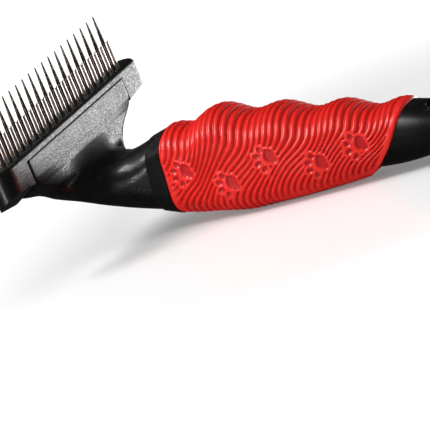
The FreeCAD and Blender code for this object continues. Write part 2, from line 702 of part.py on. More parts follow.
def tail_dowel_rod(name, gap):
    return cylinder(name, "Sizes.dowel_radius + %s" % gap, "2 * Sizes.tail_dowel_half",
                    "Sizes.row_x + Sizes.tail_dowel_x", "-Sizes.tail_dowel_half",
                    "Sizes.spigot_height", "y")


def build_handle_fasteners():
    """Dowels through tang and spigot, and the screws that close the core."""
    keep("tang_dowels", grouped("tang_dowel_group", [dowel_rod("tang_dowel_%d" % index, index, "0")
                                                     for index in range(2)]))
    keep("tail_dowel", tail_dowel_rod("tail_dowel_rod", "0"))
    screws = [joined("core_screw_%d" % index,
                     core_screw_solids("core_screw_part_%d" % index, index, "0", False))
              for index in range(2)]
    keep("core_screws", grouped("core_screw_group", screws))


def grip_section(name, x, top, turn="90", other=None):
    """A section of the grip between its top outline and its underside.

    With another station's name it takes the mean of the two for underside and width.
    """
    under, wide = "Sizes.%s_under" % name, "Sizes.%s_wide" % name
    if other:
        under = "(%s + Sizes.%s_under) / 2" % (under, other)
        wide = "(%s + Sizes.%s_wide) / 2" % (wide, other)
    return section(name + ("_half" if other else ""), x, "(%s + %s) / 2" % (top, under), turn,
                   "(%s - %s) / 2" % (top, under), wide, "%s - Sizes.grip_flat" % wide)


def grip_skin():
    """The grip's outside: a flat underside and ridges between the fingers on top."""
    ridge_x = GRIP_FRONT + " + Sizes.ridge_start + %s * Sizes.finger_pitch"
    ridge_top = "(Sizes.ridge_top - %s * Sizes.ridge_drop - %s * Sizes.groove_depth)"
    sections = [grip_section("grip_front", GRIP_FRONT, "Sizes.grip_front_top", LEANING)]
    for key in ("heel", "index", "step"):
        sections.append(grip_section("grip_" + key, GRIP_FRONT + " + Sizes.%s_x" % key,
                                     "Sizes.%s_top" % key))
    stations = ["grip_ridge_a", "grip_groove_a", "grip_ridge_b", "grip_groove_b",
                "grip_ridge_c", "grip_groove_c", "grip_lip"]
    for index, name in enumerate(stations):
        along, sunk = index / 2, index % 2
        sections.append(grip_section(name, ridge_x % along, ridge_top % (along, sunk)))
        if name != "grip_lip":
            sections.append(grip_section(name, ridge_x % (along + 0.25),
                                         ridge_top % (along + 0.25, 0.5), "90", stations[index + 1]))
    sections.append(grip_section("grip_past", (ridge_x % 3) + " + Sizes.lip_reach",
                                 "(%s - Sizes.lip_drop)" % (ridge_top % (3, 0))))
    return loft("grip_skin", sections)


def grip_room(name):
    """All that lies in front of the grip's rear edge, which is an arc seen from the side."""
    ahead = block(name + "_ahead", CUT_REACH, CUT_REACH, CUT_REACH,
                  "Sizes.row_x + Sizes.grip_end_x - %s" % CUT_REACH, "-%s / 2" % CUT_REACH,
                  "-%s / 2" % CUT_REACH)
    drum = cylinder(name + "_drum", "Sizes.grip_end_radius", CUT_REACH,
                    "Sizes.row_x + Sizes.grip_end_x", "-%s / 2" % CUT_REACH,
                    "Sizes.grip_end_height", "y")
    return joined(name, [ahead, drum])


def build_collar():
    """The black ring between the neck and the grip."""
    front = section("collar_front", "Sizes.collar_x", "Sizes.axis_height", LEANING,
                    "Sizes.collar_high", "Sizes.collar_wide", "Sizes.collar_wide - 0.4")
    rear = grip_section("grip_front", GRIP_FRONT, "Sizes.grip_front_top", LEANING)
    ring = loft("collar_skin", [front, rear])
    keep("collar", cut("collar_cut", ring, [core_skin("collar_bore", "Sizes.bond_gap")]))


def build_grip_sleeve():
    """The soft sleeve moulded over the core."""
    outside = common("grip_trimmed", grip_skin(), grip_room("grip_room"))
    keep("grip_sleeve", cut("grip_cut", outside, [core_skin("grip_bore", "Sizes.bond_gap")]))


def build_tail_cap():
    """The hard tail with its stub in the sleeve, its spigot in the core and the hanging hole."""
    skin = loft("tail_skin", [sheet_section(name) for name in TAIL_SECTIONS])
    outside = cut("tail_outside", skin, [grip_room("tail_room")])
    behind = block("stub_space", CUT_REACH, CUT_REACH, CUT_REACH,
                   "Sizes.row_x + Sizes.core_end_x", "-%s / 2" % CUT_REACH, "-%s / 2" % CUT_REACH)
    stub = common("tail_stub", core_skin("stub_skin", "0"), behind)
    spigot = centred_block("spigot", "Sizes.spigot_length + 1", "Sizes.spigot_wide",
                           "Sizes.spigot_high", "Sizes.row_x + Sizes.core_end_x - Sizes.spigot_length",
                           "Sizes.spigot_height")
    through = eyelet_cutter("eyelet_hole", "Sizes.hole_radius + Sizes.eyelet_wall + Sizes.fit_gap",
                            "-%s / 2" % CUT_REACH)
    seat = eyelet_cutter("eyelet_seat", "Sizes.eyelet_flange + Sizes.fit_gap",
                         "-Sizes.eyelet_flange_high")
    keep("tail_cap", cut("tail_cut", joined("tail_solid", [outside, stub, spigot]),
                         [through, seat, tail_dowel_rod("spigot_hole", "0")]))


def eyelet_cutter(name, radius, start):
    """A cylinder on the leaning axis of the eyelet that starts at one depth and goes up."""
    rod = cylinder(name, radius, CUT_REACH, "Sizes.row_x + Sizes.hole_x + (%s) * %s" % (
        start, "sin(Sizes.eyelet_lean * 1 deg)"), "0", "Sizes.eyelet_top + (%s) * %s" % (
            start, "cos(Sizes.eyelet_lean * 1 deg)"), "z")
    rod.Placement = FreeCAD.Placement(Vector(), FreeCAD.Rotation(Vector(0, 1, 0), 5))
    bind(rod, Placement__Rotation__Angle="Sizes.eyelet_lean")
    return rod


def build_hang_eyelet():
    """A polished liner in the hanging hole, with a flange on the upper side."""
    body = body_at("hang_eyelet_body", "Sizes.row_x + Sizes.hole_x", "0", "Sizes.eyelet_top")
    body.Placement = FreeCAD.Placement(Vector(), FreeCAD.Rotation(Vector(0, 1, 0), 5))
    bind(body, Placement__Rotation__Angle="Sizes.eyelet_lean")
    sketch = sketch_on(body, "XZ_Plane", "eyelet_profile")
    bore, tube = "Sizes.hole_radius", "(Sizes.hole_radius + Sizes.eyelet_wall)"
    edge, under, bottom = "Sizes.eyelet_flange", "-Sizes.eyelet_flange_high", "-Sizes.eyelet_length"
    polygon(sketch, [(bore, bottom), (tube, bottom), (tube, under), (edge, under),
                     (edge, "-Sizes.eyelet_round"), (edge + " - Sizes.eyelet_round", "0"),
                     (bore + " + Sizes.eyelet_round", "0"), (bore, "-Sizes.eyelet_round")])
    turned = body.newObject("PartDesign::Revolution", "eyelet_turned")
    turned.Profile = sketch
    turned.ReferenceAxis = (sketch, ["V_Axis"])
    turned.Angle = 360.0
    keep("hang_eyelet", body)


# ---------------------------------------------------------------- whole comb
def check_and_export():
    """Refuse a failed object or an empty or invalid sub-part, then write the STEP files."""
    doc.recompute()
    for item in doc.Objects:
        if "Invalid" in item.State or "Error" in item.State:
            raise RuntimeError("%s failed: %s" % (item.Name, item.State))
    for name, item in nodes.items():
        if item.Shape.isNull() or not item.Shape.isValid():
            raise RuntimeError("%s has no valid shape" % name)
    os.makedirs("parts", exist_ok=True)
    for name, item in nodes.items():
        item.Shape.exportStep("parts/%s.step" % name)
        print("%-16s %2d solids %9.1f mm3" % (name, len(item.Shape.Solids), item.Shape.Volume))


fill_sheet()
build_pins()
build_pin_plate()
build_thrust_strip()
build_head_bar()
build_bar_screws()
build_fan_yoke()
build_collar()
core_half("core_left", -1)
core_half("core_right", 1)
build_handle_fasteners()
build_grip_sleeve()
build_tail_cap()
build_hang_eyelet()
check_and_export()
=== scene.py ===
"""Dematting comb: finishes, ribbed rubber grip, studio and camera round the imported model."""
import math

import bpy
import numpy as np
from mathutils import Matrix, Vector


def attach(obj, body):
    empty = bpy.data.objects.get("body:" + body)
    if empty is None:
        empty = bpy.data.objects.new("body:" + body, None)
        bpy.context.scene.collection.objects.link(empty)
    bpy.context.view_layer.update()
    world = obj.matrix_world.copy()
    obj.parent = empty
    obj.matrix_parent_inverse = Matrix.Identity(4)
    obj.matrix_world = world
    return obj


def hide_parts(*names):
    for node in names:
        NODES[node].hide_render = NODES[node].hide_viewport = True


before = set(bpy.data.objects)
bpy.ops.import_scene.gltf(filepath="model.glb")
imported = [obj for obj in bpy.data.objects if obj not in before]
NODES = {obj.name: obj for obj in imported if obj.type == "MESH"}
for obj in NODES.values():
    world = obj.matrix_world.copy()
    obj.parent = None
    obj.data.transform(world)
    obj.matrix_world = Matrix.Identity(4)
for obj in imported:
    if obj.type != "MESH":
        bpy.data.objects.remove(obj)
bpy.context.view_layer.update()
BODY = "comb"
MM = 0.001

# ---------------------------------------------------------------- sizes, in millimetres
ROW_X = -68.5                   # the row of pins
FACE_HEIGHT = 44.3              # the pin face above the underside of the grip
AXIS_HEIGHT = 18.2              # middle of the grip's front
GRIP_FRONT = 33.2               # from the row
GRIP_LEAN = 7.0                 # degrees
GRIP_LENGTH = 88                # first guess of its length, before its ends are found
END_ROUND = 0.9                 # rounding of the grip's two edges
END_WRAP = 4                    # how far its skin turns in over its ends
REAR_ARC = (86.5, 36.3, 38.0)   # from the row, height, radius
GRIP_FLAT = 1.2                 # half width of its flat top and underside
# Grip: distance from its front, top, underside, half width
GRIP_STATIONS = (
    (-4.0, 31.0, 4.8, 8.9),
    (0.0, 31.8, 4.3, 9.4),
    (4.4, 32.5, 3.3, 10.1),
    (11.4, 31.4, 2.2, 10.9),
    (17.4, 34.0, 1.1, 11.7),
    (22.4, 34.8, 0.3, 12.0),
    (33.05, 30.275, 0.05, 12.1),
    (43.7, 30.55, 0.05, 12.1),
    (54.35, 26.025, 0.3, 11.6),
    (65.0, 26.3, 0.8, 11.2),
    (75.65, 21.775, 1.8, 10.5),
    (86.3, 22.05, 2.6, 10.3),
    (92.3, 19.3, 2.8, 10.1),
    (98.0, 17.8, 2.9, 9.9),
)
RIB_PITCH = 2.36
GROOVE_DEPTH = 0.8
RIB_SWEEP = 21.0                # how far the ribs run forward on their way down the side
PAD_DEPTH = 0.55
# Fan: travel, distance from the row, height, turn, half thickness, half width, corner
FAN_STATIONS = (
    (0.0, 0.15, 36.3, 0.0, 4.95, 34.5, 1.2),
    (4.7, 0.5, 31.6, 18.0, 4.8, 33.6, 2.4),
    (8.0, 1.8, 28.6, 16.0, 4.1, 27.4, 3.6),
    (11.7, 3.4, 25.3, 22.0, 4.2, 22.4, 3.9),
    (15.9, 6.7, 22.6, 42.0, 4.7, 16.8, 4.4),
    (21.7, 11.9, 20.1, 66.0, 6.7, 12.2, 6.3),
    (29.5, 19.5, 18.4, 81.0, 9.4, 9.8, 8.6),
    (37.4, 27.4, 18.2, 83.0, 11.8, 8.5, 8.1),
)
PANEL = (4.05, 1.05, 34.5, 1.0)     # the plate over the bar: from the row, half sizes, corner
PANEL_HEIGHTS = (42.0, 41.9, 41.7, 41.4, 39.0, 36.25)
PANEL_ROUND = (0.35, 0.12, 0.03, 0.0, 0.0, 0.0)
# Fan's front along its travel: how far the middle swells and the flanks sink
FAN_FORM = (
    (0.0, 0.0, 0.0),
    (3.0, 0.0, 0.0),
    (4.7, 0.15, 0.0),
    (8.0, 0.9, 0.45),
    (11.7, 1.5, 1.6),
    (15.9, 1.3, 1.9),
    (21.7, 0.3, 0.5),
    (29.5, 0.0, 0.0),
    (37.4, 0.0, 0.0),
)
SWELL_WIDTH = 11.0
FLANK = (7.0, 16.0)                 # the flanks sink from here to here, from the middle
SIDE_ROLL = (14.0, 85.0)            # the sides roll away from here, with this radius
ROLL_FADE = 14                      # travel over which the roll comes in

PAWS = ((42.3, 19.5), (57.4, 12.7), (73.8, 18.0), (90.3, 11.8), (105.7, 14.4))
# Paw mark: distance back, distance up, half length, half height, turn in degrees
TOE_PADS = ((-2.5, 2.6, 1.15, 0.85, -45), (-4.4, 0.75, 1.25, 0.85, -12),
            (-4.75, -1.75, 1.25, 0.85, 16), (-3.1, -3.75, 1.15, 0.85, 48))
HEEL_PADS = ((0.0, 0.0, 1.9, 2.2, -18), (-0.3, 1.2, 1.25, 1.2, 0), (0.9, -1.5, 1.3, 1.2, 0))


# ---------------------------------------------------------------- shader node groups
def value_node(nodes, operation, **inputs):
    """A Math node; i0, i1 and i2 are the plain numbers of its sockets."""
    node = nodes.new("ShaderNodeMath")
    node.operation = operation
    for key, value in inputs.items():
        node.inputs[int(key[1:])].default_value = value
    return node


def geometry_math(nodes, links, operation, *terms):
    """A Math node fed by sockets or plain numbers."""
    node = nodes.new("ShaderNodeMath")
    node.operation = operation
    for index, term in enumerate(terms):
        if isinstance(term, (int, float)):
            node.inputs[index].default_value = term
        else:
            links.new(term, node.inputs[index])
    return node.outputs[0]


def smooth_step(nodes, links, value, low, high):
    """0 below low and 1 above high, with a smooth rise between."""
    node = nodes.new("ShaderNodeMapRange")
    node.interpolation_type = "SMOOTHSTEP"
    for label, term in (("Value", value), ("From Min", low), ("From Max", high)):
        if isinstance(term, (int, float)):
            node.inputs[label].default_value = term
        else:
            links.new(term, node.inputs[label])
    return node.outputs["Result"]


def new_group(name, kind, inputs, outputs):
    """A node group with named sockets: (name, socket type, default) and (name, socket type)."""
    tree = bpy.data.node_groups.new(name, kind)
    for label, socket, default in inputs:
        made = tree.interface.new_socket(label, in_out="INPUT", socket_type=socket)
        if default is not None:
            made.default_value = default
    for label, socket in outputs:
        tree.interface.new_socket(label, in_out="OUTPUT", socket_type=socket)
    return tree, tree.nodes.new("NodeGroupInput"), tree.nodes.new("NodeGroupOutput")


def spark_grain_group():
    """Spark-eroded mould texture: a fine pitted grain with a slower cloud over it."""
    tree, given, out = new_group(
        "spark_grain", "ShaderNodeTree",
        [("Grain Size", "NodeSocketFloat", 0.0004), ("Depth", "NodeSocketFloat", 0.00002),
         ("Dark", "NodeSocketColor", (0.010, 0.010, 0.010, 1)),
         ("Light", "NodeSocketColor", (0.03, 0.03, 0.03, 1)),
         ("Smooth", "NodeSocketFloat", 0.3), ("Rough", "NodeSocketFloat", 0.5),
         ("Specks", "NodeSocketFloat", 0.0)],
        [("Color", "NodeSocketColor"), ("Roughness", "NodeSocketFloat"),
         ("Normal", "NodeSocketVector"), ("Speck Gloss", "NodeSocketFloat")])
    nodes, links = tree.nodes, tree.links
    place = nodes.new("ShaderNodeTexCoord")
    scale = value_node(nodes, "DIVIDE", i0=1.0)
    links.new(given.outputs["Grain Size"], scale.inputs[1])
    grain = nodes.new("ShaderNodeTexNoise")
    grain.inputs["Detail"].default_value = 2.0
    links.new(place.outputs["Object"], grain.inputs["Vector"])
    links.new(scale.outputs[0], grain.inputs["Scale"])
    cloud = nodes.new("ShaderNodeTexNoise")
    cloud.inputs["Scale"].default_value = 90.0
    cloud.inputs["Detail"].default_value = 4.0
    links.new(place.outputs["Object"], cloud.inputs["Vector"])
    colour = nodes.new("ShaderNodeMix")
    colour.data_type = "RGBA"
    links.new(grain.outputs["Fac"], colour.inputs["Factor"])
    links.new(given.outputs["Dark"], colour.inputs["A"])
    links.new(given.outputs["Light"], colour.inputs["B"])
    links.new(colour.outputs["Result"], out.inputs["Color"])
    blend = value_node(nodes, "MULTIPLY_ADD", i1=0.5)
    links.new(grain.outputs["Fac"], blend.inputs[0])
    half = value_node(nodes, "MULTIPLY", i1=0.5)
    links.new(cloud.outputs["Fac"], half.inputs[0])
    links.new(half.outputs[0], blend.inputs[2])
    rough = nodes.new("ShaderNodeMapRange")
    rough.inputs["From Min"].default_value = 0.35
    rough.inputs["From Max"].default_value = 0.65
    links.new(blend.outputs[0], rough.inputs["Value"])
    links.new(given.outputs["Smooth"], rough.inputs["To Min"])
    links.new(given.outputs["Rough"], rough.inputs["To Max"])
    links.new(rough.outputs["Result"], out.inputs["Roughness"])
    bump = nodes.new("ShaderNodeBump")
    bump.inputs["Strength"].default_value = 1.0
    links.new(grain.outputs["Fac"], bump.inputs["Height"])
    links.new(given.outputs["Depth"], bump.inputs["Distance"])
    links.new(bump.outputs["Normal"], out.inputs["Normal"])
    peaks = nodes.new("ShaderNodeMapRange")
    peaks.interpolation_type = "SMOOTHSTEP"
    peaks.inputs["From Min"].default_value = 0.42
    peaks.inputs["From Max"].default_value = 0.66
    links.new(grain.outputs["Fac"], peaks.inputs["Value"])
    glossy = value_node(nodes, "MULTIPLY")
    links.new(peaks.outputs["Result"], glossy.inputs[0])
    links.new(given.outputs["Specks"], glossy.inputs[1])
    links.new(glossy.outputs[0], out.inputs["Speck Gloss"])
    return tree


def fine_wear_group():
    """Faint handling marks: soft smudges that change the gloss, and hairline scratches."""
    tree, given, out = new_group(
        "fine_wear", "ShaderNodeTree",
        [("Base Roughness", "NodeSocketFloat", 0.25), ("Smudge", "NodeSocketFloat", 0.1),
         ("Scratch Depth", "NodeSocketFloat", 0.000002),
         ("Tint", "NodeSocketColor", (0.5, 0.5, 0.5, 1)),
         ("Tint Marks", "NodeSocketColor", (0.4, 0.4, 0.4, 1))],
        [("Color", "NodeSocketColor"), ("Roughness", "NodeSocketFloat"),
         ("Normal", "NodeSocketVector")])
    nodes, links = tree.nodes, tree.links
    place = nodes.new("ShaderNodeTexCoord")
    smudge = nodes.new("ShaderNodeTexNoise")
    smudge.inputs["Scale"].default_value = 60.0
    smudge.inputs["Detail"].default_value = 5.0
    links.new(place.outputs["Object"], smudge.inputs["Vector"])
    rough = value_node(nodes, "MULTIPLY_ADD")
    links.new(smudge.outputs["Fac"], rough.inputs[0])
    links.new(given.outputs["Smudge"], rough.inputs[1])
    links.new(given.outputs["Base Roughness"], rough.inputs[2])
    links.new(rough.outputs[0], out.inputs["Roughness"])
    stretch = nodes.new("ShaderNodeMapping")
    stretch.inputs["Scale"].default_value = (120.0, 900.0, 2600.0)
    links.new(place.outputs["Object"], stretch.inputs["Vector"])
    lines = nodes.new("ShaderNodeTexNoise")
    lines.inputs["Scale"].default_value = 1.0
    lines.inputs["Detail"].default_value = 3.0
    links.new(stretch.outputs["Vector"], lines.inputs["Vector"])
    colour = nodes.new("ShaderNodeMix")
    colour.data_type = "RGBA"
    links.new(lines.outputs["Fac"], colour.inputs["Factor"])
    links.new(given.outputs["Tint"], colour.inputs["A"])
    links.new(given.outputs["Tint Marks"], colour.inputs["B"])
    links.new(colour.outputs["Result"], out.inputs["Color"])
    bump = nodes.new("ShaderNodeBump")
    links.new(lines.outputs["Fac"], bump.inputs["Height"])
    links.new(given.outputs["Scratch Depth"], bump.inputs["Distance"])
    links.new(bump.outputs["Normal"], out.inputs["Normal"])
    return tree


SPARK_GRAIN = spark_grain_group()
FINE_WEAR = fine_wear_group()


def material(name, group, values, **shader_values):
    """A Principled material whose colour, roughness and normal come from a node group."""
    made = bpy.data.materials.new(name)
    made.use_nodes = True
    nodes, links = made.node_tree.nodes, made.node_tree.links
    shader = nodes["Principled BSDF"]
    effect = nodes.new("ShaderNodeGroup")
    effect.node_tree = group
    for key, value in values.items():
        effect.inputs[key].default_value = value
    links.new(effect.outputs["Color"], shader.inputs["Base Color"])
    links.new(effect.outputs["Roughness"], shader.inputs["Roughness"])
    links.new(effect.outputs["Normal"], shader.inputs["Normal"])
    for key, value in shader_values.items():
        shader.inputs[key.replace("_", " ")].default_value = value
    return made


def grey(level):
    return (level, level, level, 1.0)


def grained(name, dark, light, smooth, rough, size=0.0004, depth=0.00002, specks=0.0,
            **shader_values):
    made = material(name, SPARK_GRAIN, {
        "Grain Size": size, "Depth": depth, "Dark": grey(dark), "Light": grey(light),
        "Smooth": smooth, "Rough": rough, "Specks": specks}, **shader_values)
    if specks:
        nodes, links = made.node_tree.nodes, made.node_tree.links
        shader = nodes["Principled BSDF"]
        effect = shader.inputs["Base Color"].links[0].from_node
        links.new(effect.outputs["Speck Gloss"], shader.inputs["Coat Weight"])
    return made


def worn(name, tint, marks, roughness, smudge, depth, **shader_values):
    return material(name, FINE_WEAR, {"Tint": tint, "Tint Marks": marks,
                                      "Base Roughness": roughness, "Smudge": smudge,
                                      "Scratch Depth": depth}, **shader_values)


HEAD_PLASTIC = grained("head_spark_black", 0.002, 0.006, 0.26, 0.44, size=0.0005, depth=0.00006,
                       specks=0.9, Specular_IOR_Level=0.3, Coat_Roughness=0.22)
YOKE_PLASTIC = grained("yoke_spark_black", 0.002, 0.006, 0.26, 0.44, size=0.0005, depth=0.00006,
                       specks=0.9, Specular_IOR_Level=0.3, Coat_Roughness=0.22)
FACE_PLASTIC = grained("face_plate_satin", 0.003, 0.007, 0.14, 0.26, size=0.0006, depth=0.000004)
COLLAR_PLASTIC = grained("collar_satin_black", 0.003, 0.007, 0.18, 0.30, depth=0.000006)
TAIL_PLASTIC = grained("tail_satin_black", 0.002, 0.005, 0.26, 0.40, depth=0.000008)
EYELET_PLASTIC = grained("eyelet_gloss_black", 0.002, 0.004, 0.06, 0.14, depth=0.000002)
CORE_PLASTIC = grained("core_moulded_grey", 0.12, 0.20, 0.4, 0.6, depth=0.00001)
# One pin steel in two colours: the long pins' brown-grey is painted shade, and the short pins'
# near-white is painted light.
LONG_STEEL_PAINTED_SHADE = worn("long_pin_steel_painted_shade", (0.40, 0.36, 0.31, 1), (0.30, 0.27, 0.24, 1),
                  0.16, 0.10, 0.000002, Metallic=1.0)
SHORT_STEEL_PAINTED_LIGHT = worn("short_pin_steel_painted_light", (0.88, 0.87, 0.85, 1), (0.74, 0.73, 0.71, 1),
                   0.26, 0.10, 0.000002, Metallic=1.0)
SCREW_STEEL = worn("screw_zinc", (0.5, 0.5, 0.52, 1), (0.34, 0.34, 0.36, 1),
                   0.28, 0.2, 0.000004, Metallic=1.0)
STRIP_STEEL = worn("strip_brushed_steel", (0.55, 0.55, 0.55, 1), (0.4, 0.4, 0.4, 1),
                   0.3, 0.15, 0.000006, Metallic=1.0)

FINISHES = {
    "head_bar": HEAD_PLASTIC, "fan_yoke": YOKE_PLASTIC, "pin_plate": FACE_PLASTIC,
    "collar": COLLAR_PLASTIC, "tail_cap": TAIL_PLASTIC, "hang_eyelet": EYELET_PLASTIC,
    "core_left": CORE_PLASTIC, "core_right": CORE_PLASTIC, "thrust_strip": STRIP_STEEL,
    "bar_screws": SCREW_STEEL, "core_screws": SCREW_STEEL, "tang_dowels": STRIP_STEEL,
    "tail_dowel": STRIP_STEEL,
}


def finish_node(name, finish):
    """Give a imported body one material."""
    slots = NODES[name].data.materials
    slots.clear()
    slots.append(finish)


for node_name in NODES:
    pin_steel = LONG_STEEL_PAINTED_SHADE if node_name.startswith("long") else SHORT_STEEL_PAINTED_LIGHT
    finish_node(node_name, FINISHES.get(node_name, pin_steel))


# ---------------------------------------------------------------- curves and sections
def smooth_through(table, column):
    """A smooth curve through one column of a table whose first column is the place."""
    places = np.array([row[0] for row in table])
    values = np.array([row[column] for row in table])
    slopes = np.gradient(values, places)

    def curve(x):
        index = np.clip(np.searchsorted(places, x) - 1, 0, len(places) - 2)
        span = places[index + 1] - places[index]
        t = np.clip((x - places[index]) / span, 0, 1)
        after = index + 1
        return ((2 * t**3 - 3 * t**2 + 1) * values[index]
                + (t**3 - 2 * t**2 + t) * span * slopes[index]
                + (3 * t**2 - 2 * t**3) * values[after]
                + (t**3 - t**2) * span * slopes[after])
    return curve


GRIP_TOP = smooth_through(GRIP_STATIONS, 1)
GRIP_UNDER = smooth_through(GRIP_STATIONS, 2)
GRIP_WIDE = smooth_through(GRIP_STATIONS, 3)


def racetrack(turn, half_high, half_wide, flat):
    """Points and outward normals round a rounded section; turn runs 0 to 1 from the top."""
    radius = half_wide - flat
    side = half_high - radius
    arc = radius * math.pi / 2
    lengths = [flat + 0 * side, arc, 2 * side, arc, 2 * flat + 0 * side, arc, 2 * side, arc,
               flat + 0 * side]
    ends = np.cumsum(np.stack(np.broadcast_arrays(*lengths)), axis=0)
    total = ends[-1]
    along = turn * total
    starts = ends - np.stack(np.broadcast_arrays(*lengths))
    across, up = np.zeros_like(along), np.zeros_like(along)
    out_across, out_up = np.zeros_like(along), np.zeros_like(along)
    corners = {1: (1, 1, 0), 3: (1, -1, 1), 5: (-1, -1, 2), 7: (-1, 1, 3)}
    for piece in range(9):
        here = (along >= starts[piece]) & (along <= ends[piece])
        step = along - starts[piece]
        if piece in corners:
            right, high, quarter = corners[piece]
            angle = quarter * math.pi / 2 + step / radius
            spot = (right * flat + radius * np.sin(angle), high * side + radius * np.cos(angle),
                    np.sin(angle), np.cos(angle))
        elif piece in (0, 8):
            spot = ((step if piece == 0 else step - flat), half_high + 0 * step, 0, 1)
        elif piece == 4:
            spot = (flat - step, -half_high + 0 * step, 0, -1)
        else:
            sign = 1 if piece == 2 else -1
            spot = (sign * half_wide + 0 * step, sign * (side - step), sign, 0)
        across = np.where(here, spot[0], across)
        up = np.where(here, spot[1], up)
        out_across = np.where(here, spot[2], out_across)
        out_up = np.where(here, spot[3], out_up)
    return across, up, out_across, out_up


def mesh_piece(name, points, faces, finish):
    """A smooth-shaded object at the origin from points in metres."""
    mesh = bpy.data.meshes.new(name)
    mesh.from_pydata([tuple(p) for p in points], [], faces)
    mesh.polygons.foreach_set("use_smooth", [True] * len(mesh.polygons))
    mesh.materials.append(finish)
    mesh.update()
    made = bpy.data.objects.new(name, mesh)
    bpy.context.scene.collection.objects.link(made)
    return made


def tube_faces(rings, around):
    """Quads between closed rings, with the first and last ring closed by fans of their own."""
    faces = []
    for ring in range(rings - 1):
        for spoke in range(around):
            after = (spoke + 1) % around
            a, b = ring * around + spoke, ring * around + after
            faces.append((a, a + around, b + around, b))
    front, rear = rings * around, rings * around + 1
    last = (rings - 1) * around
    for spoke in range(around):
        after = (spoke + 1) % around
        faces.append((front, spoke, after))
        faces.append((rear, last + after, last + spoke))
    return faces


def rounded_ring(high, wide, corner):
    """Rounded rectangles, one a row: across, up, and the outward direction of each point."""
    flat, side = wide - corner, high - corner
    across, up, out_across, out_up = [], [], [], []
    for quarter, (count, steps) in enumerate(((72, 9), (6, 9), (36, 9), (6, 9))):
        middle = quarter * math.pi / 2
        reach = np.linspace(-1, 1, count, endpoint=False)
        ones = np.ones(count)
        for spots, angle in ((reach, middle * ones),
                             (np.ones(steps), middle + np.linspace(0, math.pi / 2, steps, False))):
            right, top = np.sin(angle), np.cos(angle)
            turned = round(math.sin(middle)), round(math.cos(middle))
            along_y = spots * turned[1] if turned[1] else turned[0] * np.ones_like(spots)
            along_up = -spots * turned[0] if turned[0] else turned[1] * np.ones_like(spots)
            across.append(flat * along_y + corner * right)
            up.append(side * along_up + corner * top)
            out_across.append(right + 0 * flat)
            out_up.append(top + 0 * flat)
    return tuple(np.concatenate(parts, axis=1) for parts in (across, up, out_across, out_up))


# ---------------------------------------------------------------- fan
def make_fan(rings=110):
    """The fan: a plate over the bar, a flared body under it, and the neck down to the collar."""
    travel = np.linspace(0.05, FAN_STATIONS[-1][0], rings)
    x, height, turn, high, wide, corner = (smooth_through(FAN_STATIONS, column)(travel)
                                           for column in range(1, 7))
    plate_x, plate_high, plate_wide, plate_corner = PANEL
    rounds = np.array(PANEL_ROUND)
    x = np.concatenate([np.full(len(rounds), plate_x), x])
    height = np.concatenate([PANEL_HEIGHTS, height])
    turn = np.radians(np.concatenate([0 * rounds, turn]))[:, None]
    high = np.concatenate([plate_high - rounds, high])[:, None]
    wide = np.concatenate([plate_wide - rounds, np.minimum(wide, plate_wide)])[:, None]
    corner = np.concatenate([plate_corner - rounds, corner])[:, None]
    across, up, out_across, out_up = rounded_ring(high, wide, np.minimum(corner, high))
    place_x = x[:, None] + up * np.cos(turn)
    place_z = height[:, None] + up * np.sin(turn)
    swell, sink = (np.concatenate([0 * rounds, smooth_through(FAN_FORM, column)(travel)])[:, None]
                   for column in (1, 2))
    flank = np.clip((np.abs(across) - FLANK[0]) / (FLANK[1] - FLANK[0]), 0, 1)
    past = np.maximum(np.abs(across) - SIDE_ROLL[0], 0)
    fade = np.concatenate([0 * rounds, np.clip(travel / ROLL_FADE, 0, 1)])[:, None]
    sunk = (sink * flank**2 * (3 - 2 * flank) - swell * np.exp(-(across / SWELL_WIDTH)**2)
            + fade**2 * (3 - 2 * fade) * past**2 / (2 * SIDE_ROLL[1]))
    front = x + (high * np.cos(turn))[:, 0]
    sunk -= (np.maximum.accumulate(front) - front)[:, None]     # no dip under the plate
    sunk *= np.clip(out_up, 0, 1)
    points = np.stack([ROW_X + place_x - sunk * np.cos(turn), across,
                       place_z - sunk * np.sin(turn)], -1)
    around = points.shape[1]
    ends = [points[0].mean(0), points[-1].mean(0)]
    flat = np.concatenate([points.reshape(-1, 3), ends]) * MM
    fan = mesh_piece("flared_fan", flat, tube_faces(len(points), around), YOKE_PLASTIC)
    fan.data.set_sharp_from_angle(angle=math.radians(40))
    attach(fan, BODY)
    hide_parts("fan_yoke")


# ---------------------------------------------------------------- grip
def grip_skin(rings, around, edge_round):
    """The grip's smooth outside, from its leaning front to its arched rear edge."""
    share = np.linspace(0, 1, rings - 8)
    wraps = np.array([-4, -3, -2, -1]) / 4
    turn = np.arange(around) / around
    along = np.concatenate([np.zeros(4), share, np.ones(4)])
    inward = np.concatenate([-wraps, np.zeros(rings - 8), -wraps[::-1]])
    grid_along, grid_turn = np.meshgrid(along, turn, indexing="ij")
    x = GRIP_FRONT + grid_along * GRIP_LENGTH
    for _ in range(6):
        local = x - GRIP_FRONT
        top, under, wide = GRIP_TOP(local), GRIP_UNDER(local), GRIP_WIDE(local)
        across, up, out_across, out_up = racetrack(grid_turn, (top - under) / 2, wide, GRIP_FLAT)
        height = (top + under) / 2 + up
        front = GRIP_FRONT + (height - AXIS_HEIGHT) * math.tan(math.radians(GRIP_LEAN))
        rear = REAR_ARC[0] + np.sqrt(REAR_ARC[2]**2 - (height - REAR_ARC[1])**2)
        x = front + grid_along * (rear - front)
    to_end = np.minimum(x - front, rear - x)
    past_edge = edge_round - to_end
    sink = np.where(to_end < edge_round,
                    edge_round - np.sqrt(np.maximum(edge_round**2 - past_edge**2, 0)), 0)
    sink = sink + inward[:, None] * END_WRAP
    depth = (top - height) / (top - under)
    points = np.stack([ROW_X + x, across - sink * out_across, height - sink * out_up], -1)
    return points, depth, x, inward


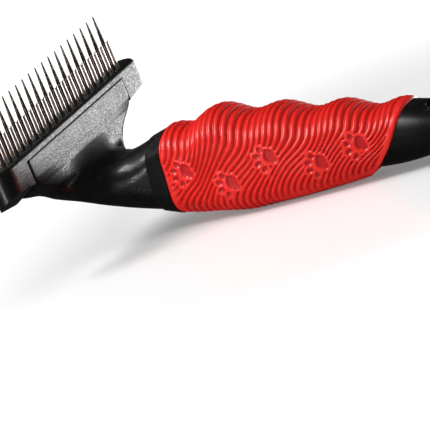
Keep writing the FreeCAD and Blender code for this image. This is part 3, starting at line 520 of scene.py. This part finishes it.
def make_grip(rings=344, around=272):
    points, depth, x, inward = grip_skin(rings, around, END_ROUND)
    ends = [points[0].mean(0), points[-1].mean(0)]
    flat = np.concatenate([points.reshape(-1, 3), ends]) * MM
    grip = mesh_piece("ribbed_grip", flat, tube_faces(rings, around), GRIP_RUBBER)
    columns = {
        "depth": np.append(depth.ravel(), [0, 0]),
        "station": np.append(x.ravel(), [0, 0]),
        "end_blank": np.append(np.repeat(inward > 0, around), [1, 1]),
    }
    for label, values in columns.items():
        held = grip.data.attributes.new(label, "FLOAT", "POINT")
        held.data.foreach_set("value", values.astype(np.float32))
    return grip


# ---------------------------------------------------------------- ribs and paw marks
def pad_group():
    """How far a point is outside one oval pad, in millimetres, on the side of the grip."""
    tree, given, out = new_group(
        "oval_pad", "GeometryNodeTree",
        [("Back", "NodeSocketFloat", 0.0), ("Up", "NodeSocketFloat", 0.0),
         ("Pad Back", "NodeSocketFloat", 0.0), ("Pad Up", "NodeSocketFloat", 0.0),
         ("Half Length", "NodeSocketFloat", 1.0), ("Half Height", "NodeSocketFloat", 1.0),
         ("Turn", "NodeSocketFloat", 0.0)],
        [("Outside", "NodeSocketFloat")])
    nodes, links = tree.nodes, tree.links

    def maths(operation, *terms):
        return geometry_math(nodes, links, operation, *terms)

    back = maths("SUBTRACT", given.outputs["Back"], given.outputs["Pad Back"])
    up = maths("SUBTRACT", given.outputs["Up"], given.outputs["Pad Up"])
    cosine = maths("COSINE", given.outputs["Turn"])
    sine = maths("SINE", given.outputs["Turn"])
    long_way = maths("ADD", maths("MULTIPLY", back, cosine), maths("MULTIPLY", up, sine))
    short_way = maths("SUBTRACT", maths("MULTIPLY", up, cosine), maths("MULTIPLY", back, sine))
    a = maths("DIVIDE", long_way, given.outputs["Half Length"])
    b = maths("DIVIDE", short_way, given.outputs["Half Height"])
    reach = maths("SQRT", maths("ADD", maths("MULTIPLY", a, a), maths("MULTIPLY", b, b)))
    size = maths("MINIMUM", given.outputs["Half Length"], given.outputs["Half Height"])
    links.new(maths("MULTIPLY", maths("SUBTRACT", reach, 1.0), size), out.inputs["Outside"])
    return tree


def rib_tree():
    """Cuts swept grooves into a grip's smooth skin and presses paw marks into its sides."""
    tree, given, out = new_group(
        "swept_ribs", "GeometryNodeTree",
        [("Geometry", "NodeSocketGeometry", None), ("Rib Pitch", "NodeSocketFloat", RIB_PITCH),
         ("Groove Depth", "NodeSocketFloat", GROOVE_DEPTH),
         ("Sweep", "NodeSocketFloat", RIB_SWEEP), ("Pad Depth", "NodeSocketFloat", PAD_DEPTH),
         ("Finish", "NodeSocketMaterial", None)],
        [("Geometry", "NodeSocketGeometry")])
    nodes, links = tree.nodes, tree.links

    def maths(operation, *terms):
        return geometry_math(nodes, links, operation, *terms)

    def attribute(name):
        node = nodes.new("GeometryNodeInputNamedAttribute")
        node.data_type = "FLOAT"
        node.inputs["Name"].default_value = name
        return node.outputs["Attribute"]

    depth, station, blank = attribute("depth"), attribute("station"), attribute("end_blank")
    place = nodes.new("GeometryNodeInputPosition")
    parts = nodes.new("ShaderNodeSeparateXYZ")
    links.new(place.outputs[0], parts.inputs[0])
    up = maths("MULTIPLY", parts.outputs["Z"], 1 / MM)

    swept = smooth_step(nodes, links, depth, 0.14, 0.95)
    shift = maths("MULTIPLY", swept, given.outputs["Sweep"])
    along = maths("ADD", station, shift)
    phase = maths("MULTIPLY", maths("DIVIDE", along, given.outputs["Rib Pitch"]), 2 * math.pi)
    wave = maths("MULTIPLY_ADD", maths("COSINE", phase), 0.5, 0.5)
    groove = maths("POWER", wave, 1.9)

    near = None
    oval = pad_group()
    for back, height in PAWS:
        for pad_back, pad_up, long_half, high_half, turn in TOE_PADS + HEEL_PADS:
            pad = nodes.new("GeometryNodeGroup")
            pad.node_tree = oval
            links.new(station, pad.inputs["Back"])
            links.new(up, pad.inputs["Up"])
            for label, number in (("Pad Back", back + pad_back), ("Pad Up", height + pad_up),
                                  ("Half Length", long_half), ("Half Height", high_half),
                                  ("Turn", math.radians(turn))):
                pad.inputs[label].default_value = number
            outside = pad.outputs["Outside"]
            near = outside if near is None else maths("MINIMUM", near, outside)
    pressed = maths("SUBTRACT", 1.0, smooth_step(nodes, links, near, -0.22, 0.08))
    clear = smooth_step(nodes, links, near, 0.7, 1.05)

    front_lip = smooth_step(nodes, links, station, GRIP_FRONT + 1.2, GRIP_FRONT + 2.4)
    height_term = maths("SUBTRACT", up, REAR_ARC[1])
    rear_edge = maths("ADD", REAR_ARC[0], maths("SQRT", maths(
        "SUBTRACT", REAR_ARC[2]**2, maths("MULTIPLY", height_term, height_term))))
    rear_lip = smooth_step(nodes, links, maths("SUBTRACT", rear_edge, station), 2.0, 3.0)
    band = maths("SUBTRACT", 1.0, maths(
        "MULTIPLY", smooth_step(nodes, links, depth, 0.86, 0.95),
        smooth_step(nodes, links, station, 60.0, 72.0)))
    keep = maths("MULTIPLY", maths("MULTIPLY", maths("MULTIPLY", clear, front_lip), rear_lip), band)
    keep = maths("MULTIPLY", keep, maths("SUBTRACT", 1.0, blank))
    groove = maths("MULTIPLY", groove, keep)
    sunk = maths("ADD", maths("MULTIPLY", groove, given.outputs["Groove Depth"]),
                 maths("MULTIPLY", pressed, given.outputs["Pad Depth"]))

    normal = nodes.new("GeometryNodeInputNormal")
    away = nodes.new("ShaderNodeVectorMath")
    away.operation = "SCALE"
    links.new(normal.outputs[0], away.inputs[0])
    links.new(maths("MULTIPLY", sunk, -MM), away.inputs["Scale"])
    flow = given.outputs["Geometry"]
    for label, value in (("groove", groove), ("pressed", pressed)):
        store = nodes.new("GeometryNodeStoreNamedAttribute")
        store.data_type = "FLOAT"
        store.domain = "POINT"
        store.inputs["Name"].default_value = label
        links.new(flow, store.inputs["Geometry"])
        links.new(value, store.inputs["Value"])
        flow = store.outputs["Geometry"]
    move = nodes.new("GeometryNodeSetPosition")
    links.new(flow, move.inputs["Geometry"])
    links.new(away.outputs[0], move.inputs["Offset"])
    real = nodes.new("GeometryNodeRealizeInstances")
    links.new(move.outputs["Geometry"], real.inputs["Geometry"])
    finish = nodes.new("GeometryNodeSetMaterial")
    links.new(real.outputs["Geometry"], finish.inputs["Geometry"])
    links.new(given.outputs["Finish"], finish.inputs["Material"])
    links.new(finish.outputs["Geometry"], out.inputs["Geometry"])
    return tree


def apply_tree(piece, tree, values):
    """Run a geometry tree on a piece once and keep the result as its plain mesh."""
    modifier = piece.modifiers.new("shape", "NODES")
    modifier.node_group = tree
    for socket in tree.interface.items_tree:
        if socket.in_out == "INPUT" and socket.name in values:
            modifier[socket.identifier] = values[socket.name]
    seen = bpy.context.evaluated_depsgraph_get()
    mesh = bpy.data.meshes.new_from_object(piece.evaluated_get(seen))
    old = piece.data
    piece.modifiers.clear()
    piece.data = mesh
    bpy.data.meshes.remove(old)
    mesh.polygons.foreach_set("use_smooth", [True] * len(mesh.polygons))
    return piece


def grip_rubber():
    """Soft red rubber: painted shade darkens the grooves, the pressed pads are darker red, a fine
    bloom over it.
    """
    made = material("grip_red_rubber", FINE_WEAR, {
        "Tint": (0.76, 0.018, 0.011, 1), "Tint Marks": (0.70, 0.015, 0.010, 1),
        "Base Roughness": 0.20, "Smudge": 0.14, "Scratch Depth": 0.000003},
        Specular_IOR_Level=0.5)
    nodes, links = made.node_tree.nodes, made.node_tree.links
    shader = nodes["Principled BSDF"]
    base = shader.inputs["Base Color"].links[0].from_socket
    flow = base
    # The groove colour is painted shade in the grooves; the pressed colour makes the pads darker
    # red.
    for label, shade, amount in (("groove", (0.34, 0.003, 0.004, 1), 0.65),
                                 ("pressed", (0.38, 0.003, 0.008, 1), 0.8)):
        mask = nodes.new("ShaderNodeAttribute")
        mask.attribute_name = label
        scaled = value_node(nodes, "MULTIPLY", i1=amount)
        links.new(mask.outputs["Fac"], scaled.inputs[0])
        mix = nodes.new("ShaderNodeMix")
        mix.data_type = "RGBA"
        mix.inputs["B"].default_value = shade
        links.new(scaled.outputs[0], mix.inputs["Factor"])
        links.new(flow, mix.inputs["A"])
        flow = mix.outputs["Result"]
    links.new(flow, shader.inputs["Base Color"])
    return made


GRIP_RUBBER = grip_rubber()
grip = make_grip()
apply_tree(grip, rib_tree(), {"Rib Pitch": RIB_PITCH, "Groove Depth": GROOVE_DEPTH,
                              "Sweep": RIB_SWEEP, "Pad Depth": PAD_DEPTH,
                              "Finish": GRIP_RUBBER})
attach(grip, BODY)
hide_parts("grip_sleeve")
make_fan()


# ---------------------------------------------------------------- studio
REAR = (0.5, 0.866, 0.0)        # towards the backdrop
ROOM_DIM = 0.03
ROOM_LIGHT = 0.40
# Floor glow for the camera: lower near the comb, a painted shadow round it, rising to full further
# out.
FLOOR_GLOW = (0.56, 0.17)       # further out, and everywhere
PAINTED_SHADOW_REACH = (0.08, 0.24)
FLOOR_LIT = (0.05, 0.12, 0.95)  # from, to, how bright
REAR_SPREAD = (0.68, 0.88)      # the lit part of the room: gone and full, as cosines
BACKDROP = (0.05, 0.35, 0.95)   # up to, gone by, how bright


def towards_rear(nodes, links, vector):
    """1 in the directions round the backdrop, fading to 0 at its sides."""
    level = nodes.new("ShaderNodeVectorMath")
    level.operation = "MULTIPLY"
    level.inputs[1].default_value = (1, 1, 0)
    links.new(vector, level.inputs[0])
    unit = nodes.new("ShaderNodeVectorMath")
    unit.operation = "NORMALIZE"
    links.new(level.outputs[0], unit.inputs[0])
    facing = nodes.new("ShaderNodeVectorMath")
    facing.operation = "DOT_PRODUCT"
    facing.inputs[1].default_value = REAR
    links.new(unit.outputs[0], facing.inputs[0])
    return smooth_step(nodes, links, facing.outputs["Value"], *REAR_SPREAD)


def studio_floor():
    size = 6.0
    floor = mesh_piece("studio_floor", [(-size, -size, 0), (size, -size, 0), (size, size, 0),
                                        (-size, size, 0)], [(0, 1, 2, 3)], floor_finish())


def floor_finish():
    """White floor that keeps the comb's shadow, with painted shadow where its camera glow is lower
    near the comb; in gloss it is lit behind the comb only.
    """
    made = bpy.data.materials.new("floor_white")
    made.use_nodes = True
    nodes, links = made.node_tree.nodes, made.node_tree.links
    shader = nodes["Principled BSDF"]
    shader.inputs["Base Color"].default_value = grey(0.80)
    shader.inputs["Roughness"].default_value = 0.22
    shader.inputs["Specular IOR Level"].default_value = 0.3
    shader.inputs["Emission Color"].default_value = grey(1.0)
    ray = nodes.new("ShaderNodeLightPath")
    place = nodes.new("ShaderNodeTexCoord")
    behind = towards_rear(nodes, links, place.outputs["Object"])
    far = nodes.new("ShaderNodeVectorMath")
    far.operation = "LENGTH"
    links.new(place.outputs["Object"], far.inputs[0])
    away = smooth_step(nodes, links, far.outputs["Value"], *FLOOR_LIT[:2])
    # Painted shadow: the camera glow is lower close to the comb.
    wide = smooth_step(nodes, links, far.outputs["Value"], *PAINTED_SHADOW_REACH)
    back_part = geometry_math(nodes, links, "MULTIPLY", behind, away)
    lit = geometry_math(nodes, links, "MULTIPLY_ADD", back_part, FLOOR_LIT[2], ROOM_DIM)
    glow = geometry_math(nodes, links, "MULTIPLY", ray.outputs["Is Camera Ray"],
                         geometry_math(nodes, links, "MULTIPLY_ADD", wide, *FLOOR_GLOW))
    links.new(glow, shader.inputs["Emission Strength"])
    mirrored = nodes.new("ShaderNodeEmission")
    links.new(lit, mirrored.inputs["Strength"])
    mix = nodes.new("ShaderNodeMixShader")
    links.new(ray.outputs["Is Glossy Ray"], mix.inputs["Fac"])
    links.new(shader.outputs[0], mix.inputs[1])
    links.new(mirrored.outputs[0], mix.inputs[2])
    links.new(mix.outputs[0], nodes["Material Output"].inputs["Surface"])
    return made


def world_light():
    """White to the camera; for the rest a dim room with a low bright backdrop behind."""
    world = bpy.data.worlds.new("studio")
    bpy.context.scene.world = world
    world.use_nodes = True
    nodes, links = world.node_tree.nodes, world.node_tree.links
    nodes.clear()
    out = nodes.new("ShaderNodeOutputWorld")
    white = nodes.new("ShaderNodeBackground")
    white.inputs["Color"].default_value = grey(1.0)
    room = nodes.new("ShaderNodeBackground")
    place = nodes.new("ShaderNodeTexCoord")
    side = towards_rear(nodes, links, place.outputs["Generated"])
    parts = nodes.new("ShaderNodeSeparateXYZ")
    links.new(place.outputs["Generated"], parts.inputs[0])
    high = smooth_step(nodes, links, parts.outputs["Z"], *BACKDROP[:2])
    low = geometry_math(nodes, links, "SUBTRACT", 1.0, high)
    level = geometry_math(nodes, links, "MULTIPLY_ADD", geometry_math(
        nodes, links, "MULTIPLY", side, low), BACKDROP[2], ROOM_DIM)
    links.new(level, room.inputs["Strength"])
    ray = nodes.new("ShaderNodeLightPath")
    plain = nodes.new("ShaderNodeBackground")
    plain.inputs["Strength"].default_value = ROOM_LIGHT
    unseen = nodes.new("ShaderNodeMixShader")
    links.new(ray.outputs["Is Glossy Ray"], unseen.inputs["Fac"])
    links.new(plain.outputs[0], unseen.inputs[1])
    links.new(room.outputs[0], unseen.inputs[2])
    mix = nodes.new("ShaderNodeMixShader")
    links.new(ray.outputs["Is Camera Ray"], mix.inputs["Fac"])
    links.new(unseen.outputs[0], mix.inputs[1])
    links.new(white.outputs[0], mix.inputs[2])
    links.new(mix.outputs[0], out.inputs["Surface"])


def soft_lamp(name, towards, distance, size, power, in_gloss=True):
    """An area lamp that shines on the comb from one direction."""
    data = bpy.data.lights.new(name, "AREA")
    data.shape = "RECTANGLE"
    data.size, data.size_y = size
    data.energy = power
    lamp = bpy.data.objects.new(name, data)
    bpy.context.scene.collection.objects.link(lamp)
    direction = Vector(towards).normalized()
    lamp.location = direction * distance + Vector((0, 0, 0.02))
    lamp.rotation_mode = "QUATERNION"
    lamp.rotation_quaternion = direction.to_track_quat("Z", "Y")
    lamp.visible_glossy = in_gloss
    lamp.visible_camera = False


def floor_card():
    """A lit card lying behind the comb, whose low reflection brightens the fan."""
    data = bpy.data.lights.new("floor_card", "AREA")
    data.shape = "RECTANGLE"
    data.size, data.size_y = 0.20, 0.28
    data.energy = 1.2
    lamp = bpy.data.objects.new("floor_card", data)
    bpy.context.scene.collection.objects.link(lamp)
    lamp.location = (0.06, 0.235, 0.002)
    lamp.rotation_euler = (math.pi, 0, math.radians(-25))
    lamp.visible_camera = False


def make_camera():
    """A long lens, rolled so that the handle runs level and the pins lean to the left."""
    right = Vector((0.82504, 0.42347, -0.37414))
    up = Vector((0.21017, 0.38465, 0.89882))
    back = right.cross(up).normalized()
    picture_mm = 134.0
    middle = Vector((ROW_X, 0, FACE_HEIGHT)) + 48.85 * right - 31.05 * up + 36.0 * back
    distance = 6.2
    data = bpy.data.cameras.new("camera")
    data.sensor_width = 36.0
    data.lens = 36.0 * distance * 1000 / picture_mm
    data.clip_start, data.clip_end = 0.1, 60.0
    camera = bpy.data.objects.new("camera", data)
    bpy.context.scene.collection.objects.link(camera)
    turned = Matrix((right, up, back)).transposed().to_4x4()
    camera.matrix_world = Matrix.Translation(middle * MM + back * distance) @ turned
    bpy.context.scene.camera = camera


studio_floor()
world_light()
soft_lamp("key_box", (-0.52, -0.45, 0.72), 0.75, (0.22, 0.34), 5.0)
soft_lamp("front_fill", (0.1, -0.9, 0.35), 0.9, (0.8, 0.5), 1.2, in_gloss=False)
soft_lamp("top_fill", (0.25, -0.15, 0.95), 0.8, (0.5, 0.5), 1.8, in_gloss=False)
soft_lamp("pin_strip", (-0.543, -0.84, -0.006), 0.171, (0.02, 0.034), 0.03)
floor_card()
make_camera()
bpy.context.scene.view_settings.view_transform = "Standard"
